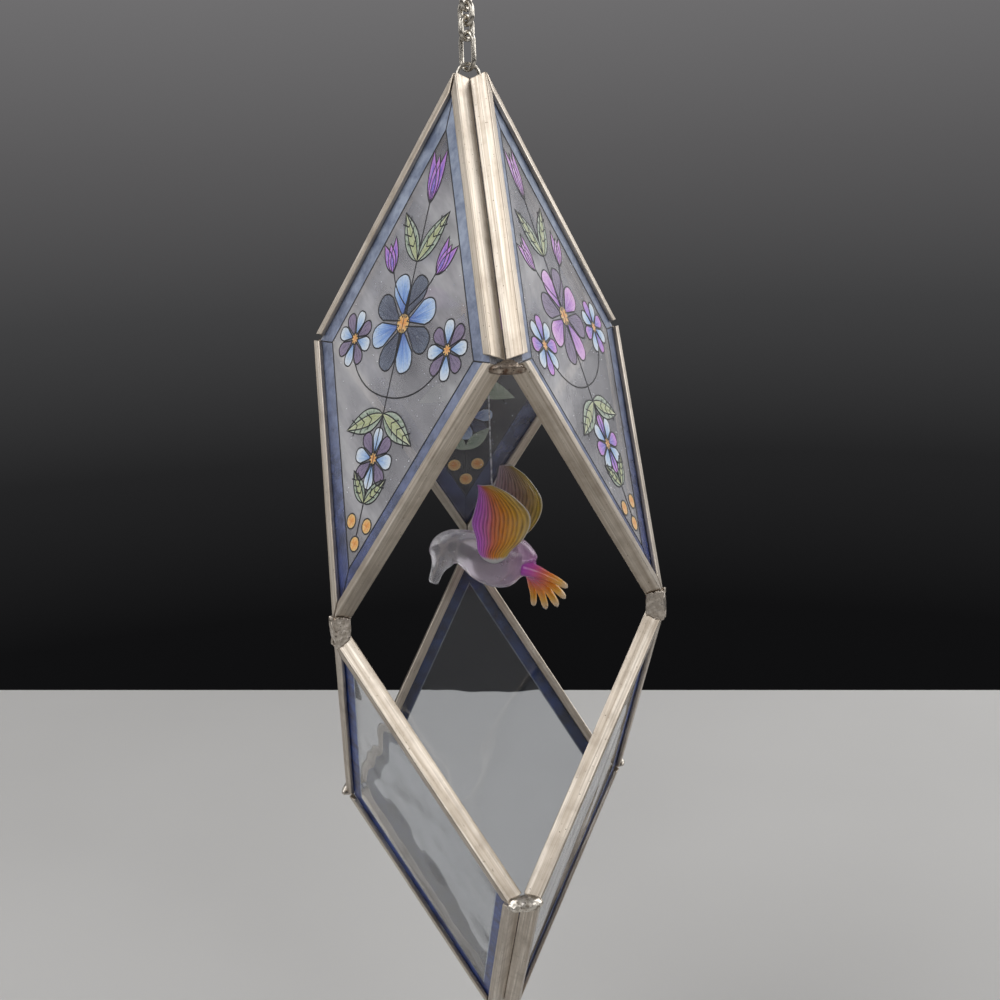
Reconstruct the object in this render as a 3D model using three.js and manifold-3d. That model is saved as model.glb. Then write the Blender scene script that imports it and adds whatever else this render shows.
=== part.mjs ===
// A hanging glass lantern: six leaded rhombic panes on a chain, with a blown glass bird inside.
// Millimetres, +Z up, the front corner towards -Y. The origin is where the top ring bears on its hook.
import * as THREE from 'three';
import { mergeVertices } from 'three/addons/utils/BufferGeometryUtils.js';
import Module from 'manifold-3d';

const wasm = await Module();
wasm.setup();

// Gap kept between pieces that touch
const clearance = 0.3;
// Smallest form that is kept where two shapes melt together
const finestDetail = 0.05;

// Lantern: the panes' middle planes meet in a point above and below, and in three corners each side
const apexRise = 135;
const cornerRadius = 46;
const openEdgeInset = 0.8;

// Panes and the U-shaped came around them
const glassThickness = 1.8;
const flangeThickness = 1.0;
const webThickness = 0.9;
const flangeDepth = 2.4;
const shoulderCutBack = 1.4;

// Solder at the corners: half sizes outwards, level and upwards
const apexSolder = { out: 3.4, level: 3.4, up: 2.6 };
const apexSolderDrop = 3.0;
const shoulderSolder = { out: 1.7, level: 4.2, up: 1.3 };
const waistSolder = { out: 1.9, level: 4.4, up: 1.5 };
const hipSolderWidth = 3.0;
const hipSolderLap = 1.6;
const solderLumps = 0.09;
const lumpsAcross = { out: 5, level: 4, up: 6 };
const lumpDetail = 2;

// Wire bail soldered into the two back grooves under the apex
const bailWire = 1.0;
const bailHalfSpan = 2.7;
const bailSetBack = 1.6;
const bailRise = 2.6;
const bailLeg = 6;
const bailSteps = 26;
const bailArchPoints = 6;

// Chain: an oval jump ring, cable links and a round ring at the top
const jumpWire = 1.2;
const jumpLength = 9.6;
const jumpWidth = 5.6;
const jumpTurn = 55;
const linkWire = 1.3;
const linkSlack = 0.7;
const linkWidth = 4.8;
const linkCount = 9;
const linkTwist = 8;
const topRingWire = 1.6;
const topRingBore = 9;
const ringSteps = 20;
const linkSteps = 12;
const wireSides = 8;

// Bird on a nylon thread
const threadDiameter = 0.4;
const threadLength = 103;
const threadOffset = 2.0;
const threadSteps = 16;
const birdLength = 36;
const birdTurn = 23.5;
const eyeletWire = 0.8;
const eyeletBore = 1.8;
const eyeletSteps = 14;

// Sizes that follow from the ones above
const cameThickness = glassThickness + 2 * clearance + 2 * flangeThickness;
const paneLength = Math.hypot(apexRise, cornerRadius);
const paneWidth = Math.sqrt(3) * cornerRadius;
const sideLength = Math.hypot(paneLength, paneWidth) / 2;
const tipHalfAngle = Math.atan2(paneWidth, paneLength);
const apothem = (paneWidth / 2) * Math.cos(tipHalfAngle);
const ridgeHalfAngle = (Math.PI - Math.acos((cornerRadius ** 2 - apexRise ** 2 / 2) / paneLength ** 2)) / 2;
const ridgeInset = (
  ((cameThickness / 2) * Math.cos(ridgeHalfAngle) + clearance / 2) / Math.sin(ridgeHalfAngle)
);

const finishes = {
  came: { color: 0xb9ab98, roughness: 0.42, metalness: 1.0 },
  solder: { color: 0xd0c8bb, roughness: 0.28, metalness: 1.0 },
  chain: { color: 0xdcd5ca, roughness: 0.2, metalness: 1.0 },
  paintedGlass: { color: 0x9fb0cc, roughness: 0.1, metalness: 0.0, transparent: true, opacity: 0.6 },
  clearGlass: { color: 0xcfd6df, roughness: 0.05, metalness: 0.0, transparent: true, opacity: 0.45 },
  birdGlass: { color: 0xc79ac4, roughness: 0.05, metalness: 0.0, transparent: true, opacity: 0.7 },
  nylon: { color: 0xe6e6e6, roughness: 0.35, metalness: 0.0 },
};

function piece(name, geometry, finish) {
  const mesh = new THREE.Mesh(geometry, new THREE.MeshStandardMaterial(finishes[finish]));
  mesh.name = name;
  return mesh;
}

// Keeps only the positions and joins the vertices that lie on each other
function welded(geometry) {
  geometry.deleteAttribute('normal');
  geometry.deleteAttribute('uv');
  const joined = mergeVertices(geometry, 1e-4);
  joined.computeVertexNormals();
  return joined;
}

function toManifold(geometry) {
  const solid = welded(geometry);
  return new wasm.Manifold(new wasm.Mesh({
    numProp: 3,
    vertProperties: new Float32Array(solid.attributes.position.array),
    triVerts: new Uint32Array(solid.index.array),
  }));
}

function fromManifold(solid) {
  const mesh = solid.getMesh();
  const geometry = new THREE.BufferGeometry();
  geometry.setAttribute('position', new THREE.BufferAttribute(new Float32Array(mesh.vertProperties), 3));
  geometry.setIndex(new THREE.BufferAttribute(new Uint32Array(mesh.triVerts), 1));
  geometry.computeVertexNormals();
  return geometry;
}

// Drops the slivers that a cut leaves, and any crumb that it parted from the main body
function largestBody(solid) {
  const bodies = solid.asOriginal().simplify(finestDetail).decompose();
  return bodies.reduce((best, body) => (body.volume() > best.volume() ? body : best));
}

// Skins a row of closed rings of points and closes both ends with a fan
function loft(rings) {
  const around = rings[0].length;
  const points = rings.flat();
  const first = points.length;
  const last = first + 1;
  points.push(centroid(rings[0]), centroid(rings[rings.length - 1]));
  const index = [];
  for (let ring = 0; ring < rings.length - 1; ring += 1) {
    for (let step = 0; step < around; step += 1) {
      const a = ring * around + step;
      const b = ring * around + ((step + 1) % around);
      index.push(a, b, a + around, b, b + around, a + around);
    }
  }
  const end = (rings.length - 1) * around;
  for (let step = 0; step < around; step += 1) {
    const next = (step + 1) % around;
    index.push(first, next, step);
    index.push(last, end + step, end + next);
  }
  const geometry = new THREE.BufferGeometry().setFromPoints(points);
  geometry.setIndex(index);
  return geometry;
}

function centroid(ring) {
  return ring.reduce((sum, point) => sum.add(point), new THREE.Vector3()).divideScalar(ring.length);
}

// A wire bent along a curve, with flat ends
function wireAlong(curve, diameter, steps, sides) {
  const section = new THREE.Shape();
  for (let side = 0; side < sides; side += 1) {
    const angle = (2 * Math.PI * side) / sides;
    const x = (diameter / 2) * Math.cos(angle);
    const y = (diameter / 2) * Math.sin(angle);
    if (side === 0) {
      section.moveTo(x, y);
    } else {
      section.lineTo(x, y);
    }
  }
  section.closePath();
  return welded(new THREE.ExtrudeGeometry(section, { steps, extrudePath: curve }));
}

// An oval link standing in the XZ plane: a torus pulled apart along its length
function ovalLink(length, width, wire, steps, sides) {
  const straight = Math.max(length - width, 0);
  const geometry = new THREE.TorusGeometry((width - wire) / 2, wire / 2, sides, steps);
  geometry.rotateZ(Math.PI / steps);
  const position = geometry.attributes.position;
  for (let i = 0; i < position.count; i += 1) {
    position.setY(i, position.getY(i) + (Math.sign(position.getY(i)) * straight) / 2);
  }
  return welded(geometry.rotateX(Math.PI / 2));
}

// Corner of a pane's frame in the pane's own plane, pulled in from the ridge and the open sides
function frameCorner(corner, ridge, open) {
  if (corner === 'apex') {
    return new THREE.Vector2(0, paneLength / 2 - ridge / Math.sin(tipHalfAngle));
  }
  if (corner === 'hip') {
    return new THREE.Vector2(0, open / Math.sin(tipHalfAngle) - paneLength / 2);
  }
  const side = corner === 'left' ? -1 : 1;
  const across = (2 * apothem - ridge - open) / (2 * Math.cos(tipHalfAngle));
  const along = (open - ridge) / (2 * Math.sin(tipHalfAngle));
  return new THREE.Vector2(side * across, along);
}

const frameSides = [
  { label: 'ridge_1', from: 'left', to: 'apex', cutFrom: shoulderCutBack, cutTo: 0 },
  { label: 'ridge_2', from: 'apex', to: 'right', cutFrom: 0, cutTo: shoulderCutBack },
  { label: 'open_1', from: 'hip', to: 'left', cutFrom: 0, cutTo: 0 },
  { label: 'open_2', from: 'right', to: 'hip', cutFrom: 0, cutTo: 0 },
];

function cornerHalfAngle(corner) {
  return corner === 'apex' || corner === 'hip' ? tipHalfAngle : Math.PI / 2 - tipHalfAngle;
}

// One strip of U-shaped came, open towards the glass, mitred at both ends
function cameStrip(side) {
  const from = frameCorner(side.from, ridgeInset, openEdgeInset);
  const to = frameCorner(side.to, ridgeInset, openEdgeInset);
  const run = to.clone().sub(from);
  const length = run.length();
  const along = run.normalize();
  const inward = new THREE.Vector2(along.y, -along.x);
  const channel = cameThickness / 2 - flangeThickness;
  const half = cameThickness / 2;
  const section = new THREE.Shape([
    new THREE.Vector2(0, -half),
    new THREE.Vector2(flangeDepth, -half),
    new THREE.Vector2(flangeDepth, -channel),
    new THREE.Vector2(webThickness, -channel),
    new THREE.Vector2(webThickness, channel),
    new THREE.Vector2(flangeDepth, channel),
    new THREE.Vector2(flangeDepth, half),
    new THREE.Vector2(0, half),
  ]);
  const strip = new THREE.ExtrudeGeometry(section, { depth: 1, steps: 1, bevelEnabled: false });
  const position = strip.attributes.position;
  for (let i = 0; i < position.count; i += 1) {
    const depth = position.getX(i);
    const normal = position.getY(i);
    const atEnd = position.getZ(i) > 0.5;
    const halfAngle = cornerHalfAngle(atEnd ? side.to : side.from);
    const cut = atEnd ? side.cutTo : side.cutFrom;
    const shorter = depth / Math.tan(halfAngle) + clearance / 2 / Math.sin(halfAngle) + cut;
    const reach = atEnd ? length - shorter : shorter;
    position.setXYZ(
      i,
      from.x + along.x * reach + inward.x * depth,
      from.y + along.y * reach + inward.y * depth,
      -normal,
    );
  }
  return welded(strip);
}

// A flat rhombus in the pane's plane, pulled in from the frame's outline by a margin
function rhombusPlate(margin, thickness) {
  const outline = ['apex', 'left', 'hip', 'right'].map(
    (corner) => frameCorner(corner, ridgeInset + margin, openEdgeInset + margin),
  );
  const shape = new THREE.Shape(outline);
  const plate = new THREE.ExtrudeGeometry(shape, { depth: thickness, bevelEnabled: false });
  return plate.translate(0, 0, -thickness / 2);
}

// Places a pane's own plane in the lantern: x level, y up to the apex, z outwards
function paneMatrix(azimuth) {
  const outwards = new THREE.Vector3(Math.cos(azimuth), Math.sin(azimuth), 0);
  const level = new THREE.Vector3(-Math.sin(azimuth), Math.cos(azimuth), 0);
  const climb = outwards.clone().multiplyScalar(-cornerRadius).setZ(apexRise).normalize();
  const facing = new THREE.Vector3().crossVectors(level, climb);
  const centre = outwards.clone().multiplyScalar(cornerRadius / 2).setZ(apexRise / 2);
  return new THREE.Matrix4().makeBasis(level, climb, facing).setPosition(centre);
}

const turnOver = new THREE.Matrix4().makeRotationY(Math.PI);
const degrees = Math.PI / 180;
const paneAzimuths = { left: 210 * degrees, right: 330 * degrees, back: 90 * degrees };
const ridgeAzimuths = { front: 270 * degrees, right: 30 * degrees, left: 150 * degrees };
const mirrored = { left: 'right', right: 'left', back: 'back' };

function framedPane(half, place, azimuth, glass) {
  const pane = new THREE.Group();
  pane.applyMatrix4(paneMatrix(azimuth));
  const glassMargin = webThickness + clearance;
  pane.add(piece(`pane_${half}_${place}`, welded(rhombusPlate(glassMargin, glassThickness)), glass));
  for (const side of frameSides) {
    pane.add(piece(`came_${half}_${place}_${side.label}`, cameStrip(side), 'came'));
  }
  return pane;
}

function upperHalf() {
  const half = new THREE.Group();
  for (const [place, azimuth] of Object.entries(paneAzimuths)) {
    half.add(framedPane('upper', place, azimuth, 'paintedGlass'));
  }
  return half;
}

function lowerHalf() {
  const half = new THREE.Group();
  for (const [place, azimuth] of Object.entries(paneAzimuths)) {
    half.add(framedPane('lower', mirrored[place], azimuth, 'clearGlass'));
  }
  half.applyMatrix4(turnOver);
  return half;
}

// The six frames as plain plates, a clearance larger all round, for fitting the solder
function frameEnvelopes() {
  const plates = [];
  for (const azimuth of Object.values(paneAzimuths)) {
    const plate = rhombusPlate(-clearance, cameThickness + 2 * clearance).applyMatrix4(paneMatrix(azimuth));
    plates.push(toManifold(plate.clone()));
    plates.push(toManifold(plate.clone().applyMatrix4(turnOver)));
  }
  return plates.reduce((all, plate) => all.add(plate));
}

// A corner of the frames in the lantern, on the level line through it
function cornerPlace(corner, normal) {
  const flat = frameCorner(corner, ridgeInset, openEdgeInset);
  return new THREE.Vector3(flat.x, flat.y, normal).applyMatrix4(paneMatrix(0));
}

// Middle of the pair of frame corners that meet at a shoulder: radius and height
function shoulderPlace(normal) {
  const corner = cornerPlace('left', normal);
  const toRidge = Math.atan2(corner.y, corner.x) + Math.PI / 3;
  return { radius: Math.hypot(corner.x, corner.y) * Math.cos(toRidge), height: corner.z };
}

const apexTipHeight = cornerPlace('apex', cameThickness / 2).z;
const apexMiddleHeight = cornerPlace('apex', 0).z;
const innerApexHeight = apexRise - ((cameThickness / 2) * paneLength) / cornerRadius;

// Melted metal: a round or square lump with a slightly uneven skin
function lumpySolid(geometry, seed) {
  const lump = welded(geometry);
  const position = lump.attributes.position;
  for (let i = 0; i < position.count; i += 1) {
    const x = position.getX(i);
    const y = position.getY(i);
    const z = position.getZ(i);
    const wave = Math.sin(lumpsAcross.out * x + seed) * Math.sin(lumpsAcross.level * y + 2 * seed)
      + Math.sin(lumpsAcross.up * z + 3 * seed) / 2;
    const swell = 1 + solderLumps * wave;
    position.setXYZ(i, x * swell, y * swell, z * swell);
  }
  return lump;
}

function solderLump(halves, radius, azimuth, height, seed) {
  const lump = lumpySolid(new THREE.IcosahedronGeometry(1, lumpDetail), seed);
  lump.scale(halves.out, halves.level, halves.up).rotateZ(azimuth);
  return lump.translate(radius * Math.cos(azimuth), radius * Math.sin(azimuth), height);
}

function fittedSolder(name, geometry, obstacles) {
  return piece(name, fromManifold(largestBody(toManifold(geometry).subtract(obstacles))), 'solder');
}

function shoulderSolders(envelopes) {
  const inner = shoulderPlace(-cameThickness / 2);
  const outer = shoulderPlace(cameThickness / 2);
  const solders = [];
  for (const [number, [place, azimuth]] of Object.entries(ridgeAzimuths).entries()) {
    const upper = solderLump(shoulderSolder, inner.radius, azimuth, inner.height, 2 * number);
    const lower = solderLump(waistSolder, outer.radius, azimuth, -outer.height, 2 * number + 1);
    solders.push(fittedSolder(`solder_shoulder_${place}`, upper, envelopes));
    solders.push(fittedSolder(`solder_waist_${place}`, lower, envelopes));
  }
  return solders;
}

// Short upright strips of solder that join the tips of the upper and lower frames
function hipSolders(envelopes) {
  const outer = cornerPlace('hip', cameThickness / 2);
  const inner = cornerPlace('hip', -cameThickness / 2);
  const middle = (outer.x + inner.x) / 2;
  const height = 2 * (outer.z + hipSolderLap);
  return Object.entries(paneAzimuths).map(([place, azimuth], number) => {
    const block = lumpySolid(new THREE.BoxGeometry(1, 1, 1, lumpDetail, lumpDetail, 2 * lumpDetail), number);
    block.scale(cameThickness, hipSolderWidth, height).rotateZ(azimuth);
    block.translate(middle * Math.cos(azimuth), middle * Math.sin(azimuth), 0);
    return fittedSolder(`solder_hip_${place}`, block, envelopes);
  });
}

// Point in the groove between two frames, at a distance down the ridge from the apex
function groovePoint(azimuth, distance, wire) {
  const grooveHalfAngle = Math.PI / 2 - ridgeHalfAngle;
  const floor = (cameThickness / 2) / Math.sin(ridgeHalfAngle);
  const depth = floor - (wire / 2 + clearance) / Math.sin(grooveHalfAngle);
  const radius = (distance * cornerRadius - depth * (apexRise / 2)) / sideLength;
  const height = apexRise - (distance * (apexRise / 2) + depth * cornerRadius) / sideLength;
  return new THREE.Vector3(radius * Math.cos(azimuth), radius * Math.sin(azimuth), height);
}

// The bail's wire: up out of one back groove, over the apex and down into the other
function bailCurve() {
  const azimuth = ridgeAzimuths.right;
  const floor = (cameThickness / 2) / Math.sin(ridgeHalfAngle);
  const bendDistance = (bailHalfSpan / Math.cos(azimuth)) * (sideLength / cornerRadius)
    + floor * (apexRise / 2) / cornerRadius;
  const right = [
    groovePoint(azimuth, bendDistance + bailLeg, bailWire),
    groovePoint(azimuth, bendDistance + bailLeg / 2, bailWire),
    groovePoint(azimuth, bendDistance, bailWire),
  ];
  const arch = [];
  const archTop = apexTipHeight + bailRise - bailWire / 2;
  const archFoot = apexMiddleHeight;
  for (let number = 0; number <= bailArchPoints; number += 1) {
    const angle = (Math.PI * number) / bailArchPoints;
    arch.push(new THREE.Vector3(
      bailHalfSpan * Math.cos(angle),
      bailSetBack,
      archFoot + (archTop - archFoot) * Math.sin(angle),
    ));
  }
  const left = right.map((point) => point.clone().setX(-point.x)).reverse();
  return new THREE.CatmullRomCurve3([...right, ...arch, ...left], false, 'centripetal');
}

function apexPieces(envelopes) {
  const bail = wireAlong(bailCurve(), bailWire, bailSteps, wireSides);
  const bailRoom = wireAlong(bailCurve(), bailWire + 2 * clearance, bailSteps, wireSides);
  const height = apexMiddleHeight - apexSolderDrop;
  const seed = 2 * Object.keys(ridgeAzimuths).length;
  const apex = solderLump(apexSolder, 0, 0, height, seed);
  const nadir = solderLump(apexSolder, 0, 0, -height, seed + 1);
  return [
    piece('bail', bail, 'chain'),
    fittedSolder('solder_apex', apex, envelopes.add(toManifold(bailRoom))),
    fittedSolder('solder_nadir', nadir, envelopes),
  ];
}

// Bird, modelled in shares of its own length: x to the beak, y to its near side, z up
const birdSpine = [
  { x: 0.479, z: -0.018, radius: 0.030 },
  { x: 0.474, z: 0.000, radius: 0.036 },
  { x: 0.450, z: 0.060, radius: 0.048 },
  { x: 0.428, z: 0.110, radius: 0.062 },
  { x: 0.400, z: 0.170, radius: 0.098 },
  { x: 0.376, z: 0.225, radius: 0.126 },
  { x: 0.320, z: 0.262, radius: 0.130 },
  { x: 0.250, z: 0.266, radius: 0.131 },
  { x: 0.160, z: 0.240, radius: 0.162 },
  { x: 0.070, z: 0.208, radius: 0.200 },
  { x: -0.030, z: 0.192, radius: 0.218 },
  { x: -0.125, z: 0.192, radius: 0.202 },
  { x: -0.200, z: 0.188, radius: 0.152 },
  { x: -0.262, z: 0.175, radius: 0.100 },
  { x: -0.300, z: 0.160, radius: 0.055 },
];
const bodyFlattening = 0.88;
const bodySides = 16;
const backHeight = 0.405;

function spineRing(station, tangent) {
  const raised = new THREE.Vector3(tangent.z, 0, -tangent.x);
  const ring = [];
  for (let side = 0; side < bodySides; side += 1) {
    const angle = (2 * Math.PI * side) / bodySides;
    const point = new THREE.Vector3(station.x, 0, station.z);
    point.addScaledVector(raised, station.radius * Math.cos(angle));
    point.y += station.radius * bodyFlattening * Math.sin(angle);
    ring.push(point);
  }
  return ring;
}

function birdBody() {
  const spine = birdSpine.map((station) => new THREE.Vector3(station.x, 0, station.z));
  const path = new THREE.CatmullRomCurve3(spine);
  const last = birdSpine.length - 1;
  return loft(birdSpine.map((station, number) => spineRing(station, path.getTangent(number / last))));
}

// A wing is a cupped, fluted shell that rises from a round foot on the flank to a curled tip.
// Its outline, from the foot up: height, how far its middle lies back, and half its width.
const wingOutline = [
  { up: 0.213, back: 0.047, half: 0.032 },
  { up: 0.245, back: 0.045, half: 0.078 },
  { up: 0.300, back: 0.056, half: 0.112 },
  { up: 0.385, back: 0.098, half: 0.165 },
  { up: 0.500, back: 0.112, half: 0.212 },
  { up: 0.600, back: 0.124, half: 0.200 },
  { up: 0.690, back: 0.106, half: 0.152 },
  { up: 0.765, back: 0.076, half: 0.102 },
  { up: 0.818, back: 0.030, half: 0.052 },
];
const wing = {
  footOut: 0.170, tipOut: 0.315, lean: 1.3, cup: 0.110, thickness: 0.036, rimRoundness: 4,
  flutes: 7, fluteDepth: 0.007, rows: 11, columns: 28,
};

function wingShell(flank) {
  const lines = wingOutline.map((line) => new THREE.Vector3(-line.back, line.half, line.up));
  const path = new THREE.CatmullRomCurve3(lines);
  const widest = Math.max(...wingOutline.map((line) => line.half));
  const rings = [];
  for (let row = 0; row <= wing.rows; row += 1) {
    const rise = row / wing.rows;
    const line = path.getPoint(rise);
    const fullness = line.y / widest;
    const out = wing.footOut + (wing.tipOut - wing.footOut) * rise ** wing.lean;
    const ring = [];
    for (const face of [1, -1]) {
      for (let column = 0; column < wing.columns; column += 1) {
        const across = face * (2 * (column / wing.columns) - 1);
        const flute = wing.fluteDepth * Math.cos(Math.PI * wing.flutes * across);
        const skin = (wing.thickness / 2) * Math.sqrt(1 - across ** wing.rimRoundness);
        const bulge = wing.cup * (1 / 2 - across ** 2);
        ring.push(new THREE.Vector3(
          line.x + line.y * across,
          flank * (out + (bulge + flute) * fullness + face * skin),
          line.z,
        ));
      }
    }
    rings.push(flank > 0 ? ring.reverse() : ring);
  }
  return loft(rings);
}

// Five fingers of the drooping tail, each a tapered rod with a round tip
const tail = {
  fingers: 5, rootX: -0.235, rootZ: 0.145, firstAngle: 4, fanAngle: 67,
  reach: 0.352, reachBow: 0.032, halfSpread: 0.100, rootSpread: 0.35, droop: 0.028,
  rootRadius: 0.045, tipRadius: 0.026, roundFrom: 0.88, tipShare: 0.35, steps: 7, sides: 8,
};

function tailFinger(number) {
  const share = number / (tail.fingers - 1);
  const angle = (tail.firstAngle + tail.fanAngle * share) * degrees;
  const reach = tail.reach + tail.reachBow * Math.sin(Math.PI * share);
  const spread = tail.halfSpread * (2 * share - 1);
  const root = new THREE.Vector3(tail.rootX, spread * tail.rootSpread, tail.rootZ);
  const tip = new THREE.Vector3(
    tail.rootX - reach * Math.sin(angle),
    spread,
    tail.rootZ - reach * Math.cos(angle),
  );
  const middle = root.clone().lerp(tip, 0.5);
  middle.x -= tail.droop;
  middle.z += tail.droop;
  const path = new THREE.QuadraticBezierCurve3(root, middle, tip);
  const rings = [];
  for (let step = 0; step <= tail.steps; step += 1) {
    const run = step / tail.steps;
    const centre = path.getPoint(run);
    const tangent = path.getTangent(run);
    const sideways = new THREE.Vector3(0, 1, 0).cross(tangent).normalize();
    const other = new THREE.Vector3().crossVectors(tangent, sideways);
    const past = Math.max(run - tail.roundFrom, 0) / (1 - tail.roundFrom);
    const roundEnd = Math.max(Math.sqrt(1 - past ** 2), tail.tipShare);
    const radius = (tail.rootRadius + (tail.tipRadius - tail.rootRadius) * run) * roundEnd;
    const ring = [];
    for (let side = 0; side < tail.sides; side += 1) {
      const turn = (2 * Math.PI * side) / tail.sides;
      ring.push(centre.clone()
        .addScaledVector(sideways, radius * Math.cos(turn))
        .addScaledVector(other, radius * Math.sin(turn)));
    }
    rings.push(ring);
  }
  return loft(rings);
}

function birdGeometry() {
  const parts = [birdBody(), wingShell(1), wingShell(-1)];
  for (let finger = 0; finger < tail.fingers; finger += 1) {
    parts.push(tailFinger(finger));
  }
  const eyeletOuter = eyeletBore + 2 * eyeletWire;
  const eyelet = ovalLink(eyeletOuter, eyeletOuter, eyeletWire, eyeletSteps, wireSides);
  eyelet.translate(0, 0, backHeight * birdLength + eyeletBore / 2);
  const bird = parts.reduce(
    (all, part) => all.add(toManifold(part.scale(birdLength, birdLength, birdLength))),
    toManifold(eyelet),
  );
  return fromManifold(largestBody(bird));
}

function birdOnThread() {
  const group = new THREE.Group();
  const eyeletTop = backHeight * birdLength + eyeletBore + eyeletWire;
  const threadEdge = threadOffset * Math.cos(ridgeAzimuths.right) + threadDiameter / 2;
  const threadTop = innerApexHeight - (threadEdge * apexRise + clearance * paneLength) / cornerRadius;
  const bird = piece('bird', birdGeometry(), 'birdGlass');
  bird.rotation.z = Math.PI - birdTurn * degrees;
  bird.position.z = threadTop - threadLength - clearance - eyeletTop;
  const line = new THREE.LineCurve3(
    new THREE.Vector3(0, 0, threadTop - threadLength),
    new THREE.Vector3(0, 0, threadTop),
  );
  group.add(bird, piece('thread', wireAlong(line, threadDiameter, threadSteps, wireSides), 'nylon'));
  group.position.x = threadOffset;
  return group;
}

function lantern() {
  const group = new THREE.Group();
  const envelopes = frameEnvelopes();
  group.add(upperHalf(), lowerHalf());
  group.add(...shoulderSolders(envelopes), ...hipSolders(envelopes), ...apexPieces(envelopes));
  group.add(birdOnThread());
  return group;
}

// Chain from the top ring downwards; each link hangs a clearance above the wire below it
function hangingChain() {
  const group = new THREE.Group();
  const ringOuter = topRingBore + 2 * topRingWire;
  const round = ovalLink(ringOuter, ringOuter, topRingWire, ringSteps, wireSides);
  const ring = piece('hanging_ring', round, 'chain');
  ring.position.z = -topRingBore / 2;
  group.add(ring);
  const linkInner = linkWire + Math.max(linkWire, topRingWire, jumpWire) + linkSlack;
  const linkLength = linkInner + 2 * linkWire;
  let innerTop = -topRingBore + clearance;
  for (let number = 1; number <= linkCount; number += 1) {
    const oval = ovalLink(linkLength, linkWidth, linkWire, linkSteps, wireSides);
    const link = piece(`chain_link_${number}`, oval, 'chain');
    link.position.z = innerTop - linkInner / 2;
    link.rotation.z = (90 - jumpTurn + (90 + linkTwist) * (linkCount - number)) * degrees;
    group.add(link);
    innerTop += clearance - linkInner;
  }
  const jump = piece('jump_ring', ovalLink(jumpLength, jumpWidth, jumpWire, ringSteps, wireSides), 'chain');
  const jumpInner = jumpLength - 2 * jumpWire;
  jump.position.z = innerTop - jumpInner / 2;
  jump.rotation.z = -jumpTurn * degrees;
  group.add(jump);
  return { group, bearing: innerTop - jumpInner };
}

const chain = hangingChain();
const hangingLantern = lantern();
const bailBearing = apexTipHeight + bailRise - bailWire;
hangingLantern.position.set(0, -bailSetBack, chain.bearing + clearance - bailBearing);

const mobile = new THREE.Group();
mobile.add(chain.group, hangingLantern);
export default mobile;
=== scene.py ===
"""A hanging lantern of leaded glass panes on a chain, with a flame-worked glass bird on a thread inside."""

import math

import bmesh
import bpy
from mathutils import Matrix, Vector, noise


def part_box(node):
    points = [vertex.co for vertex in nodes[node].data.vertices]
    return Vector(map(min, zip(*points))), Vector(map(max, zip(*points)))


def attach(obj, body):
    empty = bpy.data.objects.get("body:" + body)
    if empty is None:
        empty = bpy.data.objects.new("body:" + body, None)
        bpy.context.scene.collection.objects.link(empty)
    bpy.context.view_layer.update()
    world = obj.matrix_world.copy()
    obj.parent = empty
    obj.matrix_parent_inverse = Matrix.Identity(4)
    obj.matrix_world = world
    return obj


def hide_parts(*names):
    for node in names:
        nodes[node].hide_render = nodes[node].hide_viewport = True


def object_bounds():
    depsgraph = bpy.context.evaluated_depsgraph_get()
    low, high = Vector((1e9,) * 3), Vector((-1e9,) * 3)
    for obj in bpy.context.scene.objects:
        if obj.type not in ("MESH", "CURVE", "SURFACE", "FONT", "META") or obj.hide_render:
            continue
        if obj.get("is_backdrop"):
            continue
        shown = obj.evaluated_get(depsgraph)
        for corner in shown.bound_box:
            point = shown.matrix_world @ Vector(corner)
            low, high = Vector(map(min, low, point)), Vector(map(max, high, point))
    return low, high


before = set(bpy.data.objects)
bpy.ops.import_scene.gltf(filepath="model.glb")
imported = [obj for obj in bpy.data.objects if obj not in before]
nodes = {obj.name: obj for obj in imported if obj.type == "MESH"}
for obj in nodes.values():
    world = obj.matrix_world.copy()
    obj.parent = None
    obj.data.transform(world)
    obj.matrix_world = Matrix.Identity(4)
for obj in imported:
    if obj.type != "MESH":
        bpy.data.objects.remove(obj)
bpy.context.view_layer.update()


mm = 0.001

# Lantern's driving sizes, as in the part's source
apex_rise = 135 * mm
corner_radius = 46 * mm
open_inset = 0.8 * mm
glass_thickness = 1.8 * mm
clearance = 0.3 * mm
flange_thickness = 1.0 * mm
bail_set_back = 1.6 * mm

came_thickness = glass_thickness + 2 * clearance + 2 * flange_thickness
pane_length = math.hypot(apex_rise, corner_radius)
pane_width = math.sqrt(3) * corner_radius
tip_half_angle = math.atan2(pane_width, pane_length)
apothem = pane_width / 2 * math.cos(tip_half_angle)
ridge_fold = math.acos((corner_radius**2 - apex_rise**2 / 2) / pane_length**2)
ridge_half_angle = (math.pi - ridge_fold) / 2
ridge_inset = (came_thickness / 2 * math.cos(ridge_half_angle) + clearance / 2) / math.sin(ridge_half_angle)

glass_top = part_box("pane_upper_back")[1].z
glass_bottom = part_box("pane_lower_back")[0].z
lantern_centre = Vector((0, -bail_set_back, (glass_top + glass_bottom) / 2))

# Camera, as the photograph was taken: place from the lantern's centre, then turn, tilt and roll
camera_place = Vector((-38.4, -285.9, 97.5)) * mm
camera_turn = -0.1473
camera_tilt = -0.2501
camera_roll = -0.0333
sensor_width = 36
focal_share = 1.1422
camera_near = 10 * mm


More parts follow.
